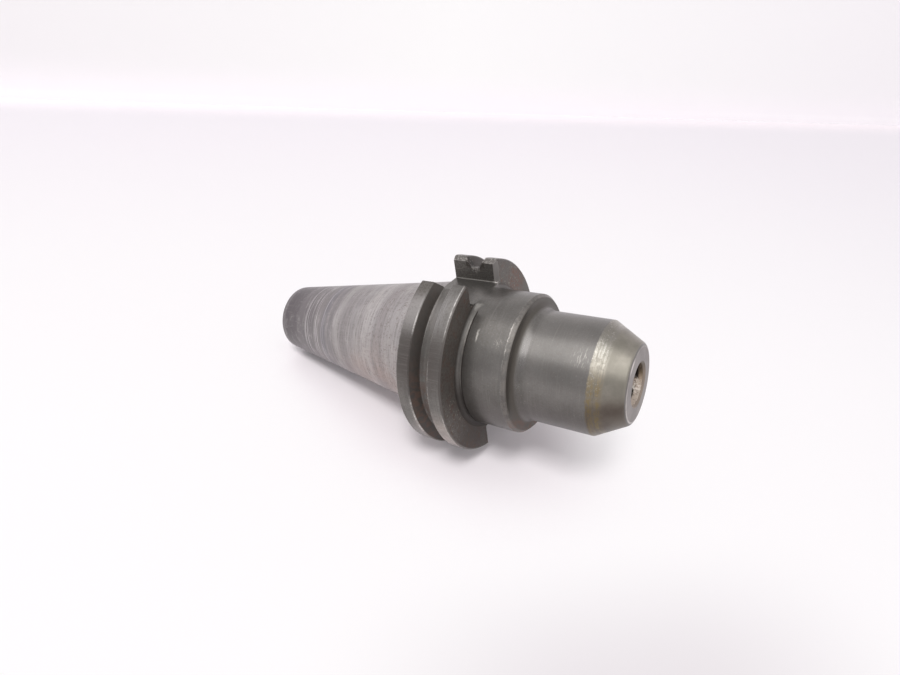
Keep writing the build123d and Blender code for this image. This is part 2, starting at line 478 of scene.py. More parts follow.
def ground_taper():
    """Bare ground steel, stained and handled, with fine marks round it and a darker small end."""
    f = Finish("ground_taper_steel")
    broad = f.lathe(0.3, 0.8, 2, 0.5)
    lines = f.lathe(2.6, 1.6, 4, 0.75)
    patch = f.lathe(0.5, 3, 4, 0.65)
    hatch = f.streaks(1.4, 0.12, 4, 0.7)
    cloud = f.noise(0.1, 4, 0.65)
    ring_along = f.shaken(patch, 1.6)
    f.start(f.ramp(broad, (0.3, (156, 152, 152)), (0.7, (175, 170, 168))), 0.85, 0.4)
    f.cover([f.ease(ring_along, -20, -70.5)], (98, 93, 96), 0.85, 0.4)

    # Rings where the spindle has polished or stained the taper
    for low, high, share, tone in (
        (-58.5, -54.5, 0.14, (172, 167, 167)),
        (-44, -41.2, 0.5, (120, 118, 126)),
        (-39.8, -38.2, 0.45, (124, 120, 124)),
        (-36.8, -34, 0.35, (188, 184, 182)),
        (-32.8, -29.8, 0.45, (138, 133, 133)),
        (-21.8, -17.2, 0.36, (200, 195, 193)),
        (-15.8, -11.6, 0.4, (142, 134, 133)),
    ):
        f.cover([f.band(ring_along, low, high, 0.8), share], tone, 0.85, 0.4)

    f.cover([f.ease(patch, 0.5, 0.7, 0, 0.35)], (190, 186, 184), 0.9, 0.38)
    f.cover([f.ease(patch, 0.5, 0.3, 0, 0.3)], (134, 130, 130), 0.85, 0.42)
    lower = [f.ease(f.rise, 0.7, -0.2), f.ease(f.along, -42, -20), f.ease(cloud, 0.35, 0.6, 0.3, 1)]
    f.cover([*lower, 0.4], (168, 144, 132), 0.8, 0.44)
    dashes = f.ease(f.noise(0.9, 4, 0.75), 0.52, 0.66)
    f.cover([dashes, f.ease(f.along, -30, -10, 0.1, 0.6)], (120, 108, 104), 0.7, 0.48)
    f.cover([f.ease(lines, 0.52, 0.4), f.ease(hatch, 0.4, 0.6, 0.2, 0.6)], (116, 112, 111), 0.8, 0.45)
    f.cover([f.ease(hatch, 0.58, 0.7, 0, 0.3)], (186, 182, 180), 0.9, 0.38)
    scored = f.ease(f.lathe(2.4, 0.5, 2, 0.6), 0.54, 0.64)
    f.cover([f.band(f.along, -53.5, -43, 1.2), scored, 0.65], (212, 208, 208), 0.95, 0.32)
    # A lighter ring near the tail end: a painted highlight of its rounded edge.
    f.cover([f.band(f.along, -67.6, -66, 0.25), 0.3], (164, 160, 160), 0.9, 0.36)
    f.cover([f.ease(f.along, -68.1, -67.8, 0.7, 0)], (82, 78, 78), 0.7, 0.5)
    return f.finish(f.bump(lines, 0.00002, 0.35, Normal=f.bump(hatch, 0.00002, 0.2)))


# Blackened steel of the flange, collar and nose, part by part in the order its wear and painted light go on


def wear_and_painted_light_all_over(f):
    """Grain, tool marks and specks, and painted highlights and shade on the nose and the collar."""
    for pattern, low, high, share, tone, metal, rough in (
        (f.grain, 0.4, 0.7, 0.45, (92, 85, 78), 0.75, 0.4),
        (f.marks, 0.5, 0.75, 0.35, (146, 142, 138), 0.9, 0.32),
        (f.pits, 0.64, 0.74, 0.35, (160, 155, 150), 0.85, 0.36),
        (f.specks, 0.66, 0.74, 0.25, (172, 167, 158), 0.85, 0.36),
    ):
        f.cover([f.ease(pattern, low, high, 0, share)], tone, metal, rough)
    # Painted highlights on the upper nose and collar, painted shade near the collar's top and underneath.
    on_nose = f.ease(f.along, 37, 40)
    on_collar = f.band(f.along, 22, 34, 1)
    f.cover([on_nose, f.ease(f.rise, -0.2, 0.3, 0, 0.3)], (138, 135, 132), 0.85, 0.32)
    f.cover([on_collar, f.band(f.rise, 0.25, 0.6, 0.12), 0.25], (138, 135, 132), 0.85, 0.32)
    f.cover([on_collar, f.band(f.rise, 0.72, 0.95, 0.1), 0.3], (84, 80, 77), 0.75, 0.36)
    f.cover([f.ease(f.along, 21, 24), f.ease(f.rise, 0.3, -0.3), 0.45], (80, 75, 73), 0.7, 0.4)


def wear_rims(f):
    """Rims of the flange: dull in the middle, bright low down, scuffed near the upper slot."""
    rim = f.on_rim
    f.cover([rim, f.near(10, -28.8, 13, 17)], (88, 83, 80), 0.75, 0.36)
    bright = f.ease(f.cloud, 0.3, 0.6, 0.4, 0.9)
    f.cover([rim, f.near(17, -28.5, -14, 15), bright], (172, 162, 155), 0.9, 0.36)
    f.cover([rim, f.near(5.5, -20, 24.6, 9)], (138, 134, 132), 0.9, 0.36)
    groove_floor = f.product(f.band(f.along, 9.6, 12.6, 0.2), f.band(f.radius, 27.9, 28.4, 0.1))
    scuffs = f.ease(f.lathe(1.6, 4, 4, 0.7), 0.4, 0.6, 0.15, 0.8)
    f.cover([f.most(rim, groove_floor), f.near(14, -18.5, 24.5, 10), scuffs], (130, 127, 126), 0.9, 0.35)
    dull = f.ease(f.grain, 0.4, 0.6, 0.3, 0.8)
    f.cover([rim, f.near(5, -12.5, 29.2, 6), dull], (86, 80, 75), 0.7, 0.42)
    f.cover([rim, f.ease(f.streaks(2.6, 0.1), 0.48, 0.72, 0, 0.16)], (150, 146, 142), 0.9, 0.34)
    f.cover([rim, f.ease(f.grain, 0.5, 0.68, 0, 0.3)], (80, 75, 72), 0.7, 0.42)


def wear_groove(f):
    """Gripper groove: dark flanks with rust low down, and its edge torn in the upper slot's far wall."""
    below_rim = f.calc("SUBTRACT", 1, f.on_rim)
    in_groove = f.product(f.band(f.along, 7.75, 14.5, 0.1), below_rim, f.ease(f.radius, 27.8, 27.9))
    f.cover([in_groove, f.ease(f.radius, 28.25, 28.5, 0.1, 0.85)], (60, 55, 51), 0.5, 0.5)
    torn_tone = f.mix(f.ease(f.specks, 0.5, 0.64), (40, 37, 35), (112, 108, 105))
    f.cover([in_groove, f.near(11.1, 9.5, 29, 5)], torn_tone, 0.6, 0.5)
    at_bottom = f.product(f.band(f.along, 9.6, 12.8, 0.1), f.ease(f.radius, 28.6, 28.3))
    burr = f.most(f.product(f.near(11.1, 8.5, 27, 2.4), at_bottom), f.near(18.5, 8.6, 22.9, 1.5))
    f.cover([burr, f.ease(f.specks, 0.4, 0.55)], (196, 191, 187), 0.9, 0.36)
    rust = [f.ease(f.rise, 0.5, 0, 0.15, 1), f.ease(f.blotch, 0.42, 0.6)]
    f.cover([in_groove, *rust, 0.45], (96, 70, 58), 0.3, 0.65)


def front_face_wear_and_shade(f):
    """Flange front face: dull, dark and bright specks, rust, brown stains, painted shade low down."""
    face = f.product(f.band(f.along, 18.95, 19.15, 0.03), f.band(f.radius, 23.4, 31.2, 0.1), f.past_slot)
    f.cover([face, 0.75], (88, 83, 78), 0.6, 0.44)
    f.cover([face, f.ease(f.grain, 0.56, 0.66, 0, 0.6)], (64, 58, 53), 0.5, 0.55)
    # Painted shade on the lower part of the face.
    f.cover([face, f.near(19, -20, -21, 14)], (72, 66, 62), 0.6, 0.48)
    speckled = f.most(f.near(19, 17, 22, 13), f.near(19, -24, -6, 15), 0.15)
    f.cover([face, speckled, f.ease(f.specks, 0.6, 0.68, 0, 0.5)], (172, 164, 154), 0.8, 0.4)
    far_rust = f.ease(f.specks, 0.42, 0.56, 0.6, 0)
    f.cover([face, f.near(19, 20, 17.5, 9), far_rust], (122, 84, 70), 0.4, 0.6)
    f.cover([face, f.ease(f.blotch, 0.55, 0.66), f.ease(f.grain, 0.44, 0.58), 0.7], (112, 80, 64), 0.3, 0.65)
    stain = [f.ease(f.across, 0, -4), f.ease(f.blotch, 0.42, 0.56), f.ease(f.grain, 0.4, 0.6, 0.3, 1)]
    f.cover([face, *stain, 0.6], (74, 60, 52), 0.4, 0.55)


def wear_slots(f):
    """Drive slots: dirt on their walls and marks along them."""
    inside = f.product(f.ease(f.beside, 8.26, 8.2), f.ease(f.height, 22.4, 22.5))
    in_slot = f.product(f.band(f.along, 3.1, 19.1, 0.05), inside)
    darkening = f.ease(f.grain, 0.35, 0.65, 0.2, 0.8)
    f.cover([in_slot, f.ease(f.beside, 8.1, 8.16), darkening], (72, 68, 64), 0.5, 0.5)
    f.cover([in_slot, f.ease(f.streaks(2.5, 0.25), 0.56, 0.7, 0, 0.5)], (134, 128, 122), 0.8, 0.4)


def slot_edge_wear_and_light(f):
    """Chamfers of the slots' mouths and of their walls' front edges, with painted light and shade."""
    diagonal = f.calc("SUBTRACT", f.height, f.beside)
    worn_side = f.product(f.ease(f.across, 0, -0.1), f.ease(f.up, -0.1, 0))
    worn_mouth = f.product(f.band(diagonal, 19.4, 19.56, 0.04), worn_side)
    mouths = f.product(f.most(f.band(diagonal, 20.6, 20.76, 0.04), worn_mouth), f.ease(f.radius, 28.7, 28.9))
    front_diagonal = f.band(f.calc("SUBTRACT", f.along, f.beside), 9.48, 9.64, 0.04)
    fronts = f.product(front_diagonal, f.band(f.along, 17.6, 19.15, 0.05), f.ease(f.height, 22.5, 22.7))
    far_wall = f.product(f.ease(f.across, 8, 8.1), f.ease(f.up, 0, 0.1))
    f.cover([mouths, 0.6], (84, 80, 77), 0.7, 0.42)
    f.cover([mouths, f.ease(f.specks, 0.48, 0.6, 0, 0.7)], (144, 140, 137), 0.9, 0.4)
    # The walls' front chamfers: painted shade, and a painted light on the far wall's.
    f.cover([fronts, 0.7], (98, 94, 91), 0.7, 0.42)
    f.cover([fronts, far_wall, 0.85], (146, 142, 140), 0.7, 0.45)


def rim_edge_wear_and_highlights(f):
    """Bright bare edges and painted highlights on the rims, each on its own stretch of the way round."""
    near_rim = f.ease(f.radius, 31, 31.15)
    # Painted shade on the front rim's edge chamfer.
    f.cover([f.band(f.along, 18.6, 19.15, 0.06), near_rim, 0.7], (84, 79, 76), 0.7, 0.42)
    rear_edge = f.product(f.band(f.rise, 0.3, 0.8, 0.2), 0.4)
    rear_groove_edge = f.most(f.band(f.rise, 0.63, 0.76, 0.04), f.band(f.rise, -0.5, 0.02, 0.06))
    faint_stretch = f.product(f.band(f.rise, 0.6, 0.92, 0.06), 0.5)
    front_groove_edge = f.product(f.most(faint_stretch, f.band(f.rise, 0.02, 0.44, 0.06)), 0.7)
    front_edge = f.product(f.most(f.band(f.rise, 0.64, 0.94, 0.04), f.band(f.rise, -0.5, -0.1, 0.06)), 0.6)
    edges = (
        (3.5, 3.75, rear_edge),
        (7.4, 7.75, rear_groove_edge),
        (14.5, 14.8, front_groove_edge),
        (18.42, 18.7, front_edge),
    )
    # Bare worn edges, and painted highlights where the edges catch the light.
    knocks_and_highlights = f.most(*(f.product(f.band(f.along, low, high, 0.08), edge) for low, high, edge in edges))
    broken = f.product(f.ease(f.grain, 0.4, 0.6, 0.3, 1), f.ease(f.blotch, 0.38, 0.54, 0.3, 1))
    f.cover([knocks_and_highlights, near_rim, broken], (204, 200, 196), 0.95, 0.32)


def collar_wear_and_light(f):
    """Collar: bare front edge, painted light and shade at the root, dark relief line, dent, rubbed spot."""
    edge = f.product(f.band(f.worn_along, 33.5, 33.8, 0.12), f.ease(f.radius, 21.9, 22.1))
    patchy = f.ease(f.blotch, 0.4, 0.58, 0.15, 1)
    facing = f.ease(f.near(33.6, -14.8, 16.2, 10), 0, 0.8, 0.1, 0.75)
    f.cover([edge, patchy, facing], (190, 185, 179), 0.95, 0.32)
    diagonal = f.total(f.along, f.radius)
    bevel = f.product(f.band(diagonal, 56, 56.35, 0.1), f.band(f.along, 33.8, 35, 0.05))
    f.cover([bevel, f.ease(f.blotch, 0.4, 0.6, 0, 0.35)], (144, 138, 132), 0.9, 0.36)
    # A painted highlight along the end of the root's rounding, on the upper side.
    root_end = [f.band(f.along, 19.95, 20.3, 0.08), f.ease(f.radius, 23.1, 22.9)]
    root_line = f.product(*root_end, f.ease(f.beside, 9, 13), f.ease(f.rise, 0, 0.4))
    f.cover([root_line, f.ease(f.blotch, 0.35, 0.6, 0.1, 0.5)], (158, 152, 146), 0.9, 0.34)
    # Painted shade in the flange's root, darker low down.
    past_root_shade = f.calc("SUBTRACT", f.along, f.ease(f.rise, 0.35, -0.1, 19.9, 20.4))
    darkening = f.product(f.ease(f.along, 18.9, 19.1), f.ease(past_root_shade, 0.1, -0.1))
    darkening = f.product(darkening, f.ease(f.radius, 24.1, 23.9), f.past_slot)
    f.cover([darkening, f.ease(f.rise, 0.35, -0.1, 0.35, 0.95)], (46, 41, 37), 0.4, 0.55)
    relief = [f.band(f.along, 20.2, 20.9, 0.04), f.ease(f.radius, 22.19, 22.1)]
    f.cover([*relief, 0.9], (44, 38, 34), 0.3, 0.6)
    dent = f.band(f.worn_along, 23.4, 23.8, 0.15)
    f.cover([f.near(23.7, -14.8, 16.6, 2.6), dent], (186, 182, 176), 0.9, 0.34)
    rub = f.ease(f.grain, 0.5, 0.66, 0, 0.6)
    f.cover([f.near(30.8, -15.7, 15.7, 2.2), rub], (180, 176, 170), 0.9, 0.34)


def nose_wear_and_light(f):
    """Nose: shoulder in painted shade, rust low down, polished root with painted highlight, scuff by cone."""
    # Painted shade on the shoulder face.
    f.cover([f.band(f.along, 34.8, 36.4, 0.3), f.ease(f.radius, 17.8, 18.6), 0.9], (76, 71, 65), 0.6, 0.46)
    rust = [f.band(f.along, 33.5, 35.6, 0.3), f.ease(f.rise, -0.3, -0.6), f.ease(f.blotch, 0.42, 0.6)]
    f.cover([*rust, 0.5], (112, 80, 66), 0.3, 0.6)
    # Polish, and a painted highlight, on the root's rounding.
    polished = [f.band(f.along, 36.4, 38.4, 0.5), f.near(37.4, -13, 12.8, 9)]
    f.cover([*polished, 0.8], (134, 131, 129), 0.9, 0.24)
    scuff = f.ease(f.lathe(3, 9), 0.52, 0.7, 0, 0.5)
    f.cover([f.near(54.3, -11.5, 13.2, 4.5), scuff], (190, 186, 180), 0.9, 0.34)


def cone_wear_and_light(f):
    """Cone: paler than the nose, brown underneath, with two polished bands and a dark line between them."""
    on_cone = f.product(f.ease(f.along, 57.1, 57.3), f.ease(f.radius, 11.9, 12))
    pale = f.mix(f.ease(f.cloud, 0.4, 0.65), (142, 137, 124), (160, 154, 141))
    f.cover([on_cone, 0.6], pale, 0.85, 0.34)
    # Brown, and darker underneath as a painted shade.
    brown = [f.ease(f.rise, 0.42, -0.05), f.ease(f.cloud, 0.3, 0.6, 0.95, 0.75)]
    f.cover([on_cone, *brown], (82, 73, 66), 0.7, 0.42)
    polish = f.ease(f.lathe(2.6, 2.6, 4, 0.8), 0.4, 0.56, 0.2, 1)
    band_along = f.shaken(f.noise(0.4, 4, 0.7), 1.4)
    rear_band = f.band(band_along, 57.1, 58.8, 0.2)
    closing = f.total(band_along, f.ease(f.rise, 0.3, 0.6, 0, 0.5))
    front_band = f.product(f.ease(closing, 59.05, 59.35), f.ease(band_along, 61.4, 60))
    bands = f.most(rear_band, front_band)
    # The bands' tone follows painted light: pale on top, brown low down.
    low_tones = (0, (112, 99, 72)), (0.44, (150, 135, 106))
    high_tones = (0.68, (174, 168, 156)), (0.9, (176, 173, 165)), (1, (140, 136, 131))
    brass_and_painted_light = f.ramp(f.rise, *low_tones, *high_tones)
    f.cover([bands, polish, f.ease(f.flakes, 0.36, 0.56, 0.35, 1)], brass_and_painted_light, 0.95, 0.3)
    # Painted glints on the bands' upper side.
    glints = [f.ease(f.specks, 0.56, 0.7, 0, 0.25), f.ease(f.rise, 0.1, 0.5)]
    f.cover([bands, *glints], (222, 218, 210), 0.95, 0.3)
    between = [f.band(band_along, 58.85, 59.05, 0.1), f.ease(f.rise, 0.5, 0.2)]
    f.cover([*between, f.ease(f.blotch, 0.4, 0.62, 0.05, 0.5)], (98, 89, 74), 0.7, 0.42)


def end_face_wear_and_highlights(f):
    """End face: pale, bare outer edge and a spot on it in painted highlight, a brown film in the mouth."""
    pale = f.mix(f.ease(f.cloud, 0.4, 0.6), (122, 115, 113), (138, 131, 128))
    f.cover([f.ease(f.along, 66.5, 66.6), f.ease(f.radius, 12.05, 11.95), 0.85], pale, 0.85, 0.4)
    at_end = f.ease(f.along, 65.8, 66)
    # Bare outer edge, and a painted highlight on it, weakest at the top.
    edge = f.product(at_end, f.band(f.radius, 11.05, 11.5, 0.15), f.ease(f.rise, 0.7, 0.2, 0.35, 1))
    f.cover([edge, f.ease(f.blotch, 0.35, 0.55, 0.4, 0.8)], (196, 190, 186), 0.95, 0.32)
    # A painted highlight spot on the edge.
    spot = [f.near(66.35, -6, 9.6, 3.6), f.band(f.radius, 10.95, 11.6, 0.15), at_end]
    f.cover(spot, (206, 200, 196), 0.95, 0.3)
    film = f.ramp(f.rise, (0, (132, 120, 109)), (0.6, (100, 92, 82)))
    f.cover([f.ease(f.along, 65.9, 66), f.ease(f.radius, 7.1, 6.95)], film, 0.6, 0.42)


def blackened_steel():
    """Black oxide, worn thin, with bare edges, rust in its corners and two polished bands at the cone."""
    f = Finish("worn_black_oxide")
    f.cloud = f.noise(0.12, 4, 0.6)
    f.blotch = f.noise(0.45, 4, 0.65, 0.4)
    f.grain = f.noise(1.7, 5, 0.7)
    f.pits = f.noise(3.2, 2, 0.5, 0.5)
    f.specks = f.noise(1.4, 2, 0.6)
    f.flakes = f.noise(0.8, 3, 0.6)
    f.marks = f.lathe(3.2, 1.3, 4, 0.72)
    f.worn_along = f.shaken(f.flakes, 1.2)
    f.beside = f.calc("ABSOLUTE", f.across)
    f.height = f.calc("ABSOLUTE", f.up)
    f.on_rim = f.ease(f.radius, 31.3, 31.5)
    f.past_slot = f.ease(f.beside, 8.1, 8.3)
    tones = (0.3, (97, 95, 92)), (0.5, (107, 105, 102)), (0.72, (118, 115, 112))
    f.start(f.ramp(f.cloud, *tones), 0.8, 0.31)
    wear_and_painted_light_all_over(f)
    wear_rims(f)
    wear_groove(f)
    front_face_wear_and_shade(f)
    wear_slots(f)
    slot_edge_wear_and_light(f)
    rim_edge_wear_and_highlights(f)
    collar_wear_and_light(f)
    nose_wear_and_light(f)
    cone_wear_and_light(f)
    end_face_wear_and_highlights(f)
    pitted = f.calc("MULTIPLY_ADD", f.pits, 0.6, f.product(f.grain, 0.4))
    return f.finish(f.bump(f.marks, 0.00002, 0.3, Normal=f.bump(pitted, 0.00006, 0.3)))


# Bores, threads and the clamping screw


def bored_steel():
    """Bored and threaded steel inside the holder, with a brown film, and painted light and shade."""
    f = Finish("bored_steel")
    marks = f.lathe(3, 1.5, 3, 0.7)
    spots = f.noise(0.8, 4, 0.65)
    grain = f.noise(2.2, 3, 0.7)
    # Painted light and shade: lighter low down, darker high up.
    height_share = f.calc("MULTIPLY_ADD", f.rise, 0.5, 0.5)
    low_tones = (0.1, (202, 188, 176)), (0.34, (194, 172, 150))
    high_tones = (0.5, (136, 120, 98)), (0.64, (98, 88, 72))
    f.start(f.ramp(height_share, *low_tones, *high_tones), 0.3, 0.42)
    f.cover([f.ease(marks, 0.4, 0.65, 0, 0.3)], (206, 188, 170), 0.7, 0.36)
    f.cover([f.ease(spots, 0.5, 0.66, 0, 0.5)], (112, 92, 76), 0.4, 0.5)

    # Painted shade where daylight slanting into the mouth doesn't reach, high up and low down.
    depth = f.calc("SUBTRACT", nose_face, f.along)
    slanted = f.calc("DIVIDE", depth, f.calc("MAXIMUM", f.calc("ABSOLUTE", f.side), 0.3))
    upper_dark = f.product(f.ease(slanted, 1.4, 2.2), f.ease(f.rise, -0.42, -0.24))
    lower_dark = f.product(f.ease(depth, 2.1, 2.6), f.ease(f.rise, -0.58, -0.72))
    f.cover([f.most(upper_dark, lower_dark)], (36, 28, 22), 0.4, 0.55)
    # Painted shade deeper in the bore.
    f.cover([f.ease(f.along, 62.5, 60.5, 0, 0.8)], (62, 50, 43), 0.5, 0.5)
    # A painted pool of light on the wall just inside the mouth.
    f.cover([f.near(64.4, 5, -3.9, 3.4), f.ease(grain, 0.46, 0.58)], (238, 228, 218), 0.1, 0.5)
    return f.finish(f.bump(marks, 0.00003, 0.4))


def screw_steel():
    """Black oxide of the set screw, bare where it has been handled."""
    f = Finish("screw_black_oxide")
    cloud = f.noise(0.6, 4, 0.65)
    grain = f.noise(3, 3, 0.6)
    f.start(f.ramp(cloud, (0.35, (74, 71, 70)), (0.7, (98, 95, 93))), 0.8, 0.36)
    f.cover([f.ease(grain, 0.55, 0.7, 0, 0.5)], (140, 136, 132), 0.9, 0.34)
    return f.finish(f.bump(grain, 0.00003, 0.3))


taper_finish = ground_taper()
black_finish = blackened_steel()
bored_finish = bored_steel()
screw_finish = screw_steel()

# Holder body. Angles round its axis crowd together near the drive slots, where the edges need more points.
steps_half = 108
crowding = 0.6
even = np.linspace(0, 1, steps_half + 1)
spread = even - crowding * np.sin(2 * pi * even) / (2 * pi)
full_turn = np.concatenate([pi * spread, 2 * pi - pi * spread[-2::-1]])


def turned(outline):
    """An outline of (along, radius) swept once round the tool axis."""
    return around_tool(outline[:, :1], outline[:, 1:], full_turn)


def slot_at(radius):
    """Across and up places where a circle of a radius round the tool axis meets the drive slot's outline,
    which goes from its floor's middle round the corner, up the wall and out along the mouth's chamfer."""
    return np.interp(radius, slot_radii, slot_line[:, 0]), np.interp(radius, slot_radii, slot_line[:, 1])


def root_along(radius):
    """Places along the axis of the flange's front face and its root: level down to the rounding's start, and
    from there an arc about the point that lies one rounding from both the face and the collar."""
    drop = np.clip(root_start - radius, 0, root_rounding)
    return flange_front + root_rounding - np.sqrt(root_rounding**2 - drop**2)


root_start = gauge_radius + root_rounding
slot_corners = [
    (0, slot_floor, 0),
    (sqrt(root_start**2 - slot_floor**2), slot_floor, 0),
    (slot_half, slot_floor, slot_floor_rounding),
    (slot_half, wall_top, 0.12),
    (slot_half + 3, wall_top + 3, 0),
]
slot_line = divided(rounded(slot_corners, 6), longest=0.4)
slot_radii = np.hypot(slot_line[:, 0], slot_line[:, 1])

groove_mouth_half = groove_bottom_half + (flange_radius - groove_bottom_radius) * groove_flank
rim_corners = [
    (flange_rear, slot_floor, 0),
    (flange_rear, flange_radius - flange_rear_edge, 0.12),
    (flange_rear + flange_rear_edge, flange_radius, 0.15),
    (groove_centre - groove_mouth_half, flange_radius, 0.16),
    (groove_centre - groove_bottom_half, groove_bottom_radius, 0.3),
    (groove_centre + groove_bottom_half, groove_bottom_radius, 0.3),
    (groove_centre + groove_mouth_half, flange_radius, 0.16),
    (flange_front - flange_front_edge, flange_radius, 0.2),
    (flange_front, flange_radius - flange_front_edge, 0.15),
    (flange_front, slot_floor, 0),
]
rim = divided(rounded(rim_corners), longest=0.7)
on_rear_face = rim[:, 0] < flange_rear + 1e-9
on_front_face = rim[:, 0] > flange_front - 1e-9
rear_top = rim[on_rear_face][-1]
front_top = rim[on_front_face][0]
rim_middle = np.concatenate([[rear_top], rim[~on_rear_face & ~on_front_face], [front_top]])
rear_radii = slot_radii[slot_radii < rear_top[1] - 1e-6]
front_radii = slot_radii[slot_radii < front_top[1] - 1e-6]
rear_face = np.stack([np.full(len(rear_radii), flange_rear), rear_radii], 1)
front_face = np.stack([root_along(front_radii), front_radii], 1)[::-1]
flange = np.concatenate([rear_face, rim_middle, front_face])


def flange_side(side):
    """The flange's outline swept from one drive slot to the other, past the clamping screw's side or the
    other one. Its first and last angles at each radius are where a circle of that radius meets the slots."""
    across, up = slot_at(flange[:, 1])
    start = np.arctan2(across, up)[:, None]
    angle = start + (pi - 2 * start) * spread
    return around_tool(flange[:, :1], flange[:, 1:], side * angle)


def drive_slot(side):
    """The upper or lower drive slot: its outline carried along the flange's own outline. Where the flange is
    lower than a point of the slot's outline, as in the groove, that point is held at the flange's surface."""
    columns = np.append(slot_radii[slot_radii < flange_radius], flange_radius)
    limit = np.minimum(columns, rim_middle[:, 1:])
    along = np.broadcast_to(rim_middle[:, :1], limit.shape)
    last = np.minimum(columns, front_top[1])
    limit = np.concatenate([limit, last[None]])
    along = np.concatenate([along, root_along(last)[None]])
    across, up = slot_at(limit)
    across = np.concatenate([-across[:, :0:-1], across], 1)
    up = np.concatenate([up[:, :0:-1], up], 1)
    along = np.concatenate([along[:, :0:-1], along], 1)
    return placed(*fitted(along, across, side * up))


taper_corners = [
    (tail_end, stud_pilot_radius + stud_pilot_edge, 0),
    (tail_end, tail_radius - tail_edge, 0.15),
    (tail_contact, tail_contact_radius, 0.2),
    (0, gauge_radius, 0),
    (flange_rear, gauge_radius, 0.1),
    (flange_rear, slot_floor, 0),
]
taper_outline = divided(rounded(taper_corners), longest=4.0)
relief_start = flange_front + root_rounding
nose_corners = [
    (relief_start, gauge_radius, 0),
    (relief_start, gauge_radius - relief_depth, 0),
    (relief_start + relief_width, gauge_radius - relief_depth, 0),
    (relief_start + relief_width, gauge_radius, 0),
    (collar_end - collar_edge, gauge_radius, 0.3),
    (collar_end, gauge_radius - collar_edge, 0.25),
    (collar_end, nose_radius, nose_root_rounding),
    (cone_start, nose_radius, 0.6),
    (nose_face, cone_face_radius, nose_face_rounding),
    (nose_face, bore_radius + bore_mouth, 0.1),
    (nose_face - bore_mouth, bore_radius, 0.1),
]
bore_first_step = 0.05
root_radii = np.linspace(slot_floor, gauge_radius, 6)[:-1]
root_outline = np.stack([root_along(root_radii), root_radii], 1)
nose_outline = np.concatenate([root_outline, divided(rounded(nose_corners, 6), longest=2.0)])
bore_corners = [
    (nose_face - bore_mouth - bore_first_step, bore_radius),
    (bore_bottom, bore_radius),
    (bore_bottom - (bore_radius - passage_radius) * drill_slope, passage_radius),
    (stud_thread_end + (stud_radius - passage_radius) * drill_slope, passage_radius),
    (stud_thread_end, stud_radius),
]
bore_outline = divided(np.array(bore_corners), longest=6.0)
bore_outline[0] = nose_outline[-1]
pilot_corners = [
    (stud_pilot_end, stud_pilot_radius),
    (tail_end + stud_pilot_edge, stud_pilot_radius),
    (tail_end, stud_pilot_radius + stud_pilot_edge),
]
stud_profile = (stud_radius, stud_groove_radius, *inner_thread_shares)
stud_along, stud_wall = thread(stud_pilot_end, stud_thread_end, stud_pitch, stud_profile, full_turn, rows=4)
TAPER, BLACK, BORED = range(3)
body_patches = [
    (turned(taper_outline), TAPER),
    (flange_side(1), BLACK),
    (flange_side(-1), BLACK),
    (drive_slot(1), BLACK),
    (drive_slot(-1), BLACK),
    (turned(nose_outline), BLACK),
    (turned(bore_outline), BORED),
    (turned(np.array(pilot_corners)), BORED),
    (around_tool(stud_along, stud_wall, full_turn), BORED),
    (around_tool(stud_pilot_end, ring(stud_wall[0], stud_pilot_radius), full_turn), BORED),
    (around_tool(stud_thread_end, ring(stud_wall[-1], stud_radius), full_turn), BORED),
]
body_finishes = [taper_finish, black_finish, bored_finish]
holder = piece("holder_turned_body", body_patches, body_finishes)

# Threaded hole for the clamping screw, cut through the side of the nose into the cutter bore
screw_turn = np.linspace(0, 2 * pi, 97)
hole_end = nose_radius - (screw_hole_mouth - screw_hole_radius)
hole_profile = (screw_hole_radius, screw_hole_groove_radius, *inner_thread_shares)
hole_along, hole_wall = thread(screw_hole_start, hole_end, screw_pitch, hole_profile, screw_turn, rows=4)
past_nose = nose_radius + 1
mouth_corners = [
    (hole_end, screw_hole_radius),
    (nose_radius, screw_hole_mouth),
    (past_nose, screw_hole_mouth),
    (past_nose, 0),
]
hole_mouth = np.array(mouth_corners)
cutter_patches = [
    (around_screw(hole_along, hole_wall, screw_turn), BORED),
    (around_screw(screw_hole_start, ring(0, hole_wall[0]), screw_turn), BORED),
    (around_screw(hole_end, ring(hole_wall[-1], screw_hole_radius), screw_turn), BORED),
    (around_screw(hole_mouth[:, :1], hole_mouth[:, 1:], screw_turn), BORED),
]
cutter = piece("screw_hole_cutter", cutter_patches, body_finishes)
cut = holder.modifiers.new("screw_hole", "BOOLEAN")
cut.object = cutter
cut.solver = "EXACT"
cut.material_mode = "INDEX"
whole = holder.evaluated_get(bpy.context.evaluated_depsgraph_get())
drilled = bpy.data.meshes.new_from_object(whole)
holder.modifiers.clear()
holder.data = drilled
drilled.set_sharp_from_angle(angle=radians(35))
bpy.data.objects.remove(cutter)
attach(holder, "holder")
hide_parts("holder_body")
weighted = holder.modifiers.new("even_faces", "WEIGHTED_NORMAL")
weighted.keep_sharp = True

